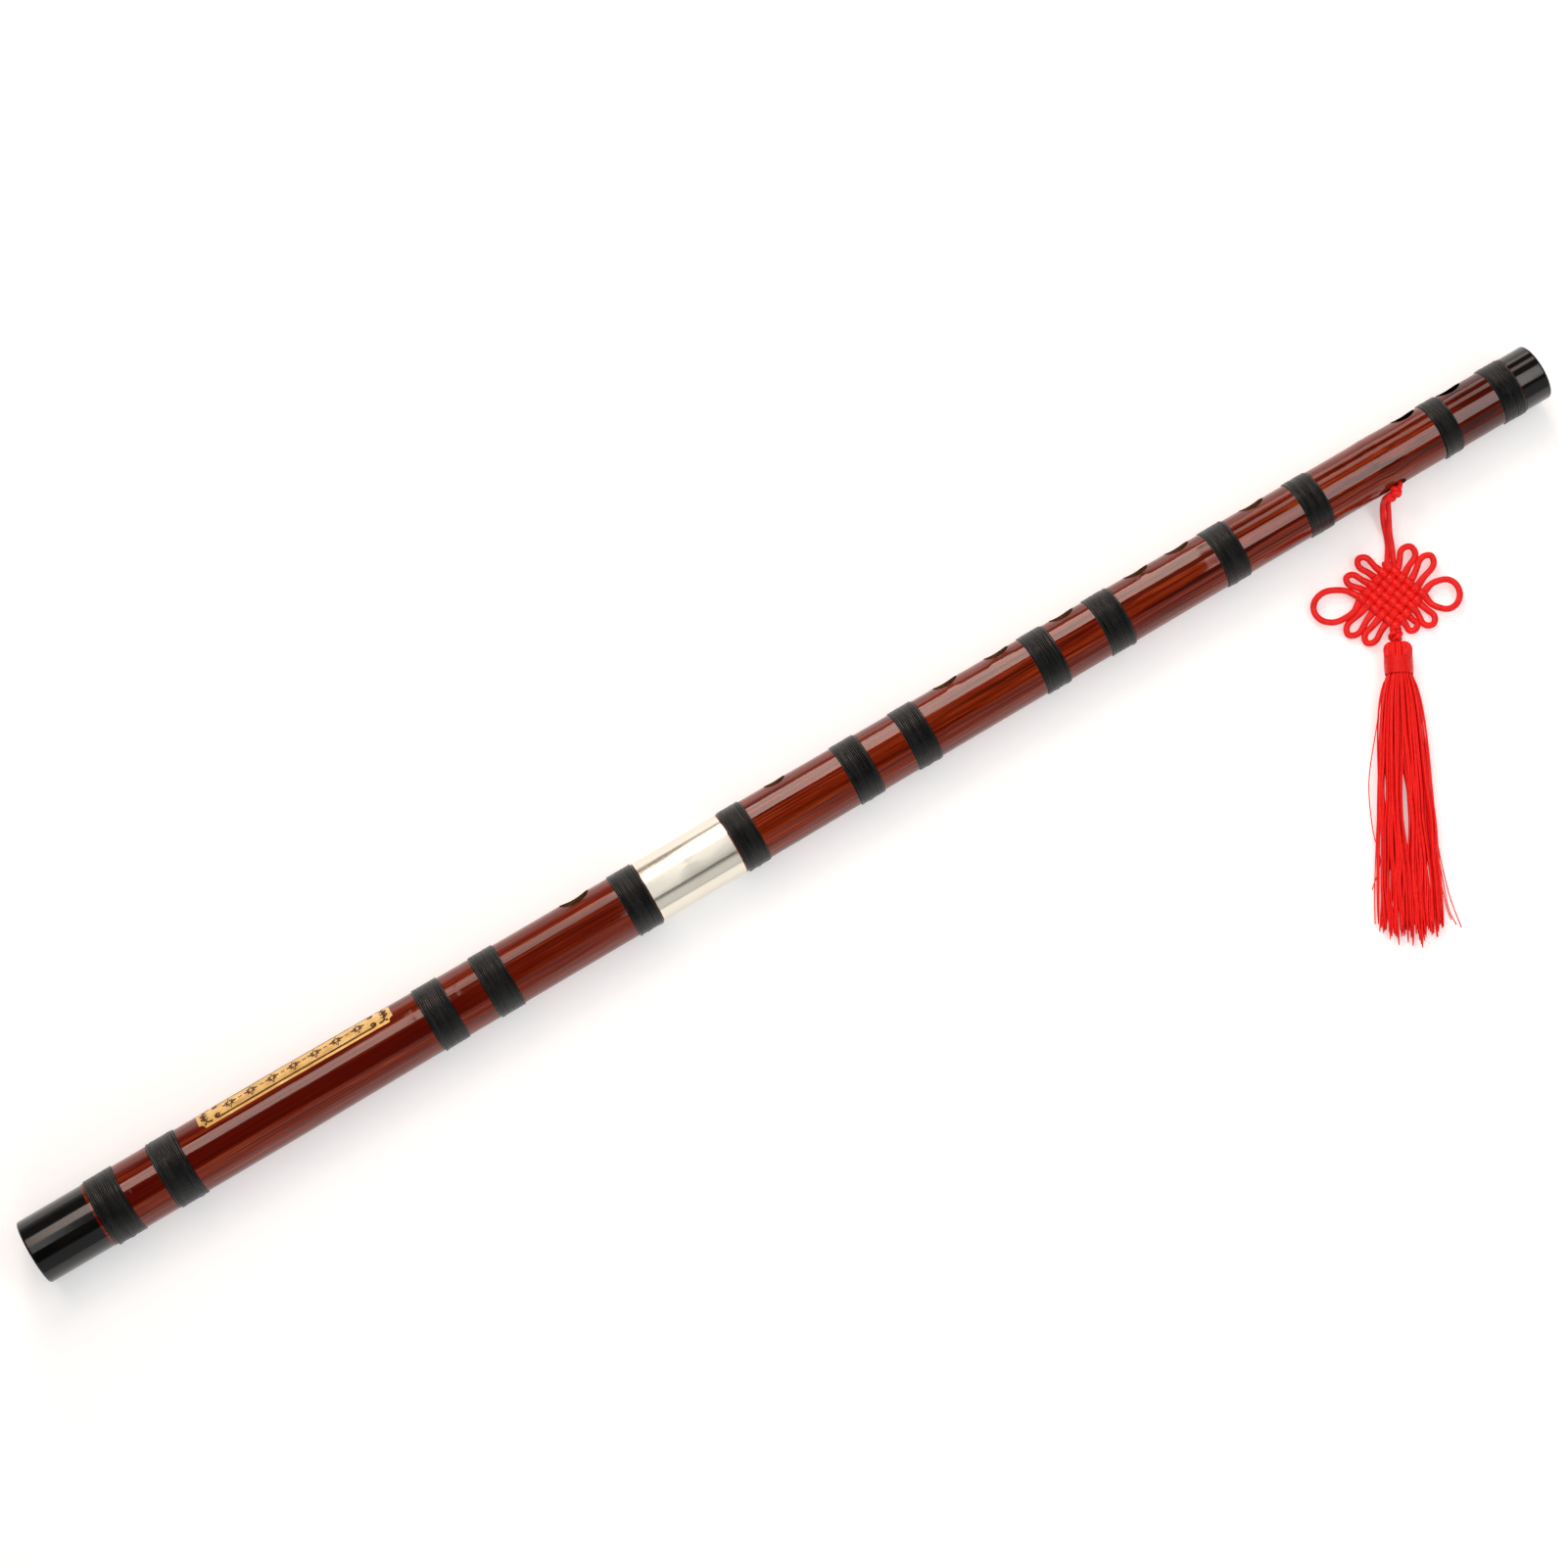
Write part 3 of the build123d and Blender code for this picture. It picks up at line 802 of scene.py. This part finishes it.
def wound_knot(builder, centre, axis, ring_radius, wave, thickness, stretch=1.0):
    """A small round knot: one cord that goes round an axis twice, weaving in and out three times."""
    loops = 3
    t = np.linspace(0, 2 * TAU, 160, endpoint=False)
    axis = unit(np.array(axis, float))
    e1 = unit(np.cross(axis, (0.31, 0.27, 1.0)))
    e2 = np.cross(axis, e1)
    r = ring_radius + wave * np.cos(loops * t / 2)
    z = wave * stretch * np.sin(loops * t / 2)
    line = np.array(centre) + r[:, None] * (np.cos(t)[:, None] * e1 + np.sin(t)[:, None] * e2)
    line = line + z[:, None] * axis
    builder.grid(tube_rings(line, thickness, thickness, 12, closed=True), loop=True)


hitch_low, hitch_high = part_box("hitch_knot")
builder = Builder()
hitch_middle = (hitch_low + hitch_high) / 2
hitch_throat = Vector((0.2541, -0.0136, 0.0140))
wound_knot(builder, hitch_middle, (-0.75, -0.35, -0.6), 1.05 * MM, 0.66 * MM, 1.05 * MM, 1.3)
wound_knot(builder, hitch_throat, (0.2, 0.3, 0.9), 0.85 * MM, 0.42 * MM, 0.95 * MM)
hitch = builder.make("hitch_knot_cord", satin)
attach(hitch, "tail_section")
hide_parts("hitch_knot")

# ------------------------------------------------------------------ the woven knot
# Sizes in mm in the knot's own directions: along the way it hangs, across that, and up.
core_low, core_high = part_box("knot_core")
knot_centre = np.array((core_low + core_high) / 2)
hang = math.radians(26.0)
down = np.array([-math.sin(hang), -math.cos(hang), 0.0])
sideways = np.array([-down[1], down[0], 0.0])
upward = np.array([0.0, 0.0, 1.0])
pitch = 3.3
half_span = 3 * pitch
offsets = (np.arange(6) - 2.5) * pitch
wave = 1.22
weave_bow = 0.088
big_ear_width = 8.0


def knot_place(along, across, height):
    """Metres in the frame, from mm along the hanging direction, across it and up."""
    along, across, height = (np.asarray(a, float)[..., None] * MM for a in (along, across, height))
    return knot_centre + along * down + across * sideways + height * upward


def strand(direction, j, forwards):
    """One strand of the weave from edge to edge, as (along, across, height) in mm."""
    t = np.linspace(-half_span, half_span, 61)
    sign = 1.0 if j % 2 else -1.0
    offset = offsets[j] + sign * weave_bow * np.cos(t / half_span * math.pi / 2)
    height = sign * wave * np.cos(math.pi * (t - offsets[0]) / pitch)
    u, v, height = (t, offset, height) if direction == "u" else (offset, t, -height)
    points = np.stack([(u + v) / math.sqrt(2), (u - v) / math.sqrt(2), height], -1)
    return points if forwards else points[::-1]


def ear_line(first, second, tip, width, height):
    """Points of the loop outside the weave, from the end of one strand to the start of another."""
    first, second = first[:2], second[:2]
    foot = (first + second) / 2
    tip = np.array(tip, float)
    axis = unit(tip - foot)
    across = np.array([-axis[1], axis[0]])
    if np.dot(first - second, across) < 0:
        across = -across
    reach = np.linalg.norm(tip - foot)
    foot_half = np.linalg.norm(first - second) / 2
    # How far out each point lies, the loop's half width there, and its share of the height.
    if width > big_ear_width:
        share = [0.12, 0.35, 0.65, 0.90]
        half = [foot_half + width * 0.19, width * 0.44, width * 0.50, width * 0.33]
    else:
        share = [0.22, 0.45, 0.68, 0.88]
        half = [foot_half * 0.80 + width * 0.08, foot_half * 0.36 + width * 0.30, width / 2, width * 0.37]
    lift = [0.35, 0.75, 1.0, 1.0]
    out = [foot + axis * reach * s + across * h for s, h in zip(share, half)]
    back = [foot + axis * reach * s - across * h for s, h in zip(share[::-1], half[::-1])]
    line = np.vstack([out, [tip], back])
    heights = np.array([h * height for h in lift] + [height] + [h * height for h in lift[::-1]])
    return np.column_stack([line, heights])


# Each ear's far end (along, across), its width and the height of its far end.
ears = {
    "upper_left_1": ((-15.5, -11.3), 4.8, 0.9),
    "upper_left_2": ((-8.7, -16.6), 4.4, 0.6),
    "upper_right_1": ((-18.8, 9.3), 5.8, 0.7),
    "upper_right_2": ((-14.6, 16.6), 5.6, 0.9),
    "lower_left_1": ((13.4, -18.2), 5.5, -0.5),
    "lower_left_2": ((17.0, -11.5), 4.8, -0.9),
    "lower_right_1": ((12.0, 14.6), 5.4, -0.6),
    "lower_right_2": ((13.3, 7.8), 4.2, -1.0),
    "big_left": ((3.6, -30.4), 12.4, 0.8),
    "big_right": ((1.6, 25.9), 11.6, 0.8),
}


def ear_curve(name, before, after, per_span):
    """An ear's curve, led in and out by the ends of the two strands that it joins."""
    tip, width, height = ears[name]
    loop = ear_line(before[-1], after[0], tip, width, height)
    anchors = np.vstack([before[-3:-1], loop, after[1:3]])
    lead = 2 * per_span
    return smooth_line(anchors, per_span)[lead:-lead]


def cord_run(pieces, per_span):
    """Strands, points and named ears joined into one line, and which of its points lie in the weave."""
    line, inside = [], []
    for k, piece in enumerate(pieces):
        if isinstance(piece, str):
            piece = ear_curve(piece, pieces[k - 1], pieces[(k + 1) % len(pieces)], per_span)
            in_weave = False
        else:
            in_weave = len(piece) > 2
        line.append(piece)
        inside.append(np.full(len(piece), float(in_weave)))
    return np.vstack(line), np.concatenate(inside)


knot = Builder()


def lay_cord(points, inside, closed):
    """The knot's cord along a line in mm, wider and flatter where it lies in the weave."""
    points = softened(points, 3, closed)
    places = knot_place(points[:, 0], points[:, 1], points[:, 2])
    flat = inside.copy()
    for _ in range(6):
        flat = (np.roll(flat, 1) + flat + np.roll(flat, -1)) / 3
    width = (1.26 + 0.36 * flat) * MM
    height = (1.12 + 0.14 * flat) * MM
    knot.grid(tube_rings(places, width, height, 14, upward, closed), loop=closed, caps=not closed)


# The inner strands run in pairs, and a small ear joins the two at each end.
for a, b, first_ear, second_ear, direction in (
    (1, 2, "lower_right_1", "upper_left_1", "u"),
    (3, 4, "lower_right_2", "upper_left_2", "u"),
    (1, 2, "lower_left_1", "upper_right_1", "v"),
    (3, 4, "lower_left_2", "upper_right_2", "v"),
):
    pieces = [strand(direction, a, True), first_ear, strand(direction, b, False), second_ear]
    lay_cord(*cord_run(pieces, 7), True)

# The two long runs: from a pendant cord across the weave, round a big ear, back and down to the button.
for side, first, ear_name, second, start in (
    (-1, "u", "big_right", "v", -13.6),
    (1, "v", "big_left", "u", -13.4),
):
    lead = [(start, side * 0.9, 0.2)]
    tail = [(14.2, side * 0.7, 0.0), (15.4, side * 0.4, 0.2)]
    pieces = [lead, strand(first, 0, True), ear_name, strand(second, 5, True), tail]
    lay_cord(*cord_run(pieces, 9), False)
woven = knot.make("woven_knot", satin)
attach(woven, "pendant")
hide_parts("knot_core", "knot_small_ears", "knot_big_ears")

# ------------------------------------------------------------------ button knot
tassel_origin = np.array([229.1, -59.5, 0.0])
button_centre = (tassel_origin + 3.2 * upward - 0.3 * down) * MM
neck_radius = 0.95 * MM
# Half of the doubled cord from the weave to the button, in mm in the knot's directions.
neck_points = ((12.2, 0.75, 0.2), (14.6, 0.675, 0.3), (17.5, 0.45, 0.6), (20.4, 0.3, 1.6))
builder = Builder()
wound_knot(builder, button_centre, down, 1.35 * MM, 0.75 * MM, 1.0 * MM, 1.45)
for side in (-1, 1):
    neck = smooth_line([knot_place(along, side * out, up) for along, out, up in neck_points], 6)
    builder.grid(tube_rings(neck, neck_radius, neck_radius, 12, upward), caps=True)
button = builder.make("button_knot_cord", satin)
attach(button, "pendant")
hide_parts("button_knot")

# ------------------------------------------------------------------ tassel
tassel_angle = math.radians(29.4)
tassel_down = np.array([-math.sin(tassel_angle), -math.cos(tassel_angle), 0.0])
tassel_side = np.array([-tassel_down[1], tassel_down[0], 0.0])


def tassel_place(distance, across, height):
    """Metres in the frame, from mm along the tassel, across it and above the surface."""
    distance, across, height = (np.asarray(a, float)[..., None] for a in (distance, across, height))
    return (tassel_origin + distance * tassel_down + across * tassel_side + height * upward) * MM


neck_height = 5.75


def round_neck(distance, radius, angle):
    """A place round the tassel's neck, which lies neck_height above the surface; sizes in mm."""
    return tassel_place(distance, radius * np.cos(angle), neck_height + radius * np.sin(angle))


# Threads of the head, as (distance down the tassel, radius), from the top to under the wrap.
head_profile = ((4.1, 1.2), (3.3, 2.6), (3.5, 4.2), (4.9, 5.05), (6.8, 5.05), (8.9, 4.95))
head_threads = 38
head_thread_width, head_thread_height = 0.43 * MM, 0.40 * MM
head_builder = Builder()
for k in range(head_threads):
    a = k * TAU / head_threads + rng.normal(0, 0.02)
    slip = rng.normal(0, 0.06)
    line = smooth_line([round_neck(d + slip, r, a) for d, r in head_profile], 5)
    head_builder.grid(tube_rings(line, head_thread_width, head_thread_height, 8), caps=True)

wrap_start, wrap_end = 8.6, 15.3
wrap_turns = 24
wrap_inset = 0.15
bed_sides, bed_radius, bed_inset = 64, 5.22, 0.05
t = np.linspace(0, wrap_turns, wrap_turns * 56 + 1)
uneven_turns = np.interp(t, np.arange(wrap_turns + 1), rng.normal(0, 0.035, wrap_turns + 1))
wrap_radius = 5.30 + 0.10 * np.sin(t / wrap_turns * math.pi) + uneven_turns
wrap_run = wrap_end - wrap_start - 2 * wrap_inset
wrap_down = wrap_start + wrap_inset + wrap_run * t / wrap_turns
wrap_line = round_neck(wrap_down, wrap_radius, t * TAU)
wrap_ups = np.cos(t * TAU)[:, None] * tassel_side + np.sin(t * TAU)[:, None] * upward
wrap_builder = Builder()
wrap_builder.grid(tube_rings(wrap_line, 0.165 * MM, 0.17 * MM, 6, wrap_ups), caps=True)
bed_angles = np.linspace(0, TAU, bed_sides, endpoint=False)
wrap_builder.grid([
    round_neck(np.full(bed_sides, d), bed_radius, bed_angles)
    for d in (wrap_start + bed_inset, wrap_end - bed_inset)
])
wrap = wrap_builder.make("tassel_wrap_thread", silk_wound)
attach(wrap, "tassel")
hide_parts("tassel_wrap")
tassel_head = head_builder.make("tassel_head_threads", silk)
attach(tassel_head, "tassel")

# Threads leave the wrap packed in a disc and spread into a flatter skirt with a few gaps.
thread_count = 170
thread_length = 99.5
golden_angle = math.pi * (3 - math.sqrt(5))
skirt_start = wrap_end - 1.1
# Where the skirt parts: place across it in half widths, distance down, half length, and half width.
seams = [
    (-0.04, 66.0, 17.0, 0.20), (0.03, 45.0, 5.0, 0.09), (0.36, 86.0, 9.0, 0.12), (-0.44, 80.0, 9.0, 0.11),
    (0.70, 70.0, 8.0, 0.10), (0.18, 98.0, 5.0, 0.10), (-0.22, 95.0, 5.0, 0.10), (0.55, 98.0, 5.0, 0.10),
    (-0.62, 96.0, 5.0, 0.09), (-0.75, 62.0, 6.0, 0.07), (0.30, 60.0, 5.0, 0.07),
]
# The skirt's outline in mm: distance down, half width, half height, and height of its middle.
stations = np.array([14.2, 16.5, 21.0, 28.0, 38.0, 50.0, 62.0, 74.0, 86.0, 98.0, 108.0, 116.0])
half_widths = np.array([4.6, 4.9, 6.4, 7.6, 8.6, 9.4, 10.1, 10.8, 11.4, 12.0, 12.4, 12.6])
half_heights = np.array([4.6, 4.7, 4.5, 4.2, 3.7, 3.4, 3.1, 2.9, 2.7, 2.6, 2.5, 2.4])
middles = np.array([5.75, 5.6, 5.2, 4.9, 4.4, 4.05, 3.75, 3.5, 3.3, 3.15, 3.05, 3.0])
down_share = np.linspace(0, 1, len(stations))
skirt = Builder()
for k in range(thread_count):
    r = math.sqrt((k + 0.5) / thread_count)
    a = k * golden_angle
    x, z = r * math.cos(a), r * math.sin(a)
    length = thread_length + rng.normal(0, 2.2) - 3.2 * x * x
    clump = 0.055 * math.sin(9.0 * x + 0.8)
    wander = rng.normal(0, 0.042, 3)
    sway = (clump + wander[0]) * down_share
    sway = sway + wander[1] * np.sin(down_share * math.pi) + wander[2] * np.sin(down_share * TAU)
    d = skirt_start + (stations - stations[0]) * length / (stations[-1] - stations[0])
    for seam, middle_d, reach_d, gap in seams:
        beside = math.copysign(gap, x - seam) * math.exp(-abs(x - seam) / (0.05 + 0.8 * gap))
        sway = sway + beside * np.exp(-((d - middle_d) / reach_d)**2)
    middle = np.interp(d, stations, middles)
    height = middle + np.interp(d, stations, half_heights) * (z + rng.normal(0, 0.05) * down_share)
    across_mm = np.interp(d, stations, half_widths) * (x + sway)
    line = smooth_line(tassel_place(d, across_mm, np.maximum(height, 0.5)), 4)
    thickness = (0.40 + rng.normal(0, 0.025)) * MM
    taper = np.ones(len(line))
    taper[:3] = 0.9
    taper[-2:] = (0.85, 0.55)
    skirt.grid(tube_rings(line, thickness * taper, thickness * taper, 6), caps=True)
# Threads that stand out from the skirt, as (distance down, across).
strays = [
    [(18, -6.0), (36, -9.6), (56, -13.2), (74, -12.6), (86, -10.4), (97, -13.8)],
    [(60, -9.8), (80, -11.6), (98, -13.0), (110, -13.4)],
    [(66, 10.2), (84, 12.2), (100, 15.2), (112, 19.0)],
    [(70, 9.6), (90, 12.4), (104, 14.4), (111, 17.2)],
    [(64, 8.8), (88, 11.2), (103, 13.6), (109, 15.4)],
]
stray_radius = 0.22 * MM
for stray in strays:
    d, x = np.array(stray, float).T
    z = np.interp(d, (15, 60, 110), (5.4, 2.6, 0.7))
    line = smooth_line(tassel_place(d, x, z), 8)
    skirt.grid(tube_rings(line, stray_radius, stray_radius, 6), caps=True)
skirt_obj = skirt.make("tassel_skirt_threads", silk)
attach(skirt_obj, "tassel")
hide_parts("tassel_threads")


# ------------------------------------------------------------------ floor, light and background
floor_reach = 12.0
floor_corners = [(floor_reach * x, floor_reach * y, 0) for x, y in ((-1, -1), (1, -1), (1, 1), (-1, 1))]
floor_mesh = bpy.data.meshes.new("floor")
floor_mesh.from_pydata(floor_corners, [], [(0, 1, 2, 3)])
floor_mesh.materials.append(floor_material())
floor = bpy.data.objects.new("floor", floor_mesh)
bpy.context.scene.collection.objects.link(floor)
floor.location.z = -0.05 * MM  # just clear of the pieces that lie on it


def softbox(name, place, target, width, length, power):
    """A rectangular lamp; its width lies along the flute."""
    data = bpy.data.lights.new(name, "AREA")
    data.shape = "RECTANGLE"
    data.size = width
    data.size_y = length
    data.energy = power
    lamp = bpy.data.objects.new(name, data)
    toward = (Vector(target) - Vector(place)).normalized()
    side = Vector((1, 0, 0))
    over = side.cross(toward).normalized()
    side = toward.cross(over).normalized()
    lamp.matrix_world = facing_matrix(side, over, toward, place)
    lamp.visible_camera = False
    bpy.context.scene.collection.objects.link(lamp)
    return lamp


def lamp_at(name, low, high, span, level, color=(1.0, 1.0, 1.0), glossy=True):
    """A softbox of brightness level from angle low to high above +Y, over a span of the frame's x."""
    distance = 1.4
    start, end = span
    a = math.radians((low + high) / 2)
    place = ((start + end) / 2, distance * math.cos(a), axis_z + distance * math.sin(a))
    across_size = 2 * distance * math.tan(math.radians((high - low) / 2))
    power = level * math.pi * across_size * (end - start)
    lamp = softbox(name, place, (place[0], 0, axis_z), end - start, across_size, power)
    lamp.data.color = color
    lamp.visible_glossy = glossy


# Each lamp but the fills makes one stripe on the lacquer. From the camera, lamps that end at these
# places in x have their stripes end off the cap, under a binding, at the ferrule's ends and off the foot.
off_cap, under_head_binding_3, at_ferrule_start, at_ferrule_end = -0.507, -0.159, 0.008, 0.079
under_tail_binding_6, off_foot = 0.507, 0.80
head_span = (off_cap, under_head_binding_3)
blow_hole_span = (under_head_binding_3, at_ferrule_start)
joint_span = (at_ferrule_start, at_ferrule_end)
tail_span = (at_ferrule_end, under_tail_binding_6)
foot_span = (under_tail_binding_6, off_foot)
room_span = (-1.1, 1.3)
warm = (1.0, 0.84, 0.74)
faintly_warm = (1.0, 0.93, 0.90)
lamp_at("softbox_head", 48, 76, head_span, 5.0, warm)
lamp_at("softbox_cap", 76, 100, (off_cap, -0.486), 4.5)
lamp_at("softbox_blow_hole", 31, 60, blow_hole_span, 3.8, warm)
lamp_at("softbox_joint", 36, 131, joint_span, 2.6)
lamp_at("softbox_joint_low", 144, 176, joint_span, 0.9)
lamp_at("softbox_holes", 21, 59, tail_span, 6.6, warm)
lamp_at("softbox_holes_low", 13, 21, (0.100, under_tail_binding_6), 6.6, warm)
lamp_at("softbox_foot_edge", 40, 54, foot_span, 3.0, warm)
lamp_at("softbox_foot", 79, 122, foot_span, 4.2, faintly_warm)
lamp_at("softbox_foot_low", 4, 19, foot_span, 2.6, warm)
lamp_at("fill_front", 135, 175, room_span, 0.75, glossy=False)
lamp_at("fill_above", 60, 140, room_span, 0.60, glossy=False)

# Angle above +Y in degrees, and the room's brightness there: pale low down on both sides, dark between.
room_stops = [
    (8.0, 0.40), (12.0, 0.12), (22.0, 0.06), (83.0, 0.05), (86.0, 0.012), (135.0, 0.012), (138.0, 0.40),
]


def studio_world():
    world = bpy.data.worlds.new("studio")
    world.use_nodes = True
    n = Nodes(world.node_tree)
    axes = n.node("ShaderNodeSeparateXYZ", {0: n.coordinates.outputs["Generated"]}).outputs
    half_turns = n.math("DIVIDE", n.math("ARCTAN2", axes["Z"], axes["Y"]), math.pi)
    room = n.ramp(half_turns, [(angle / 180, (level, level, level)) for angle, level in room_stops])
    n.put(n.tree.nodes["Background"].inputs["Color"], room)
    return world


bpy.context.scene.world = studio_world()
bpy.context.scene.view_settings.view_transform = "Standard"
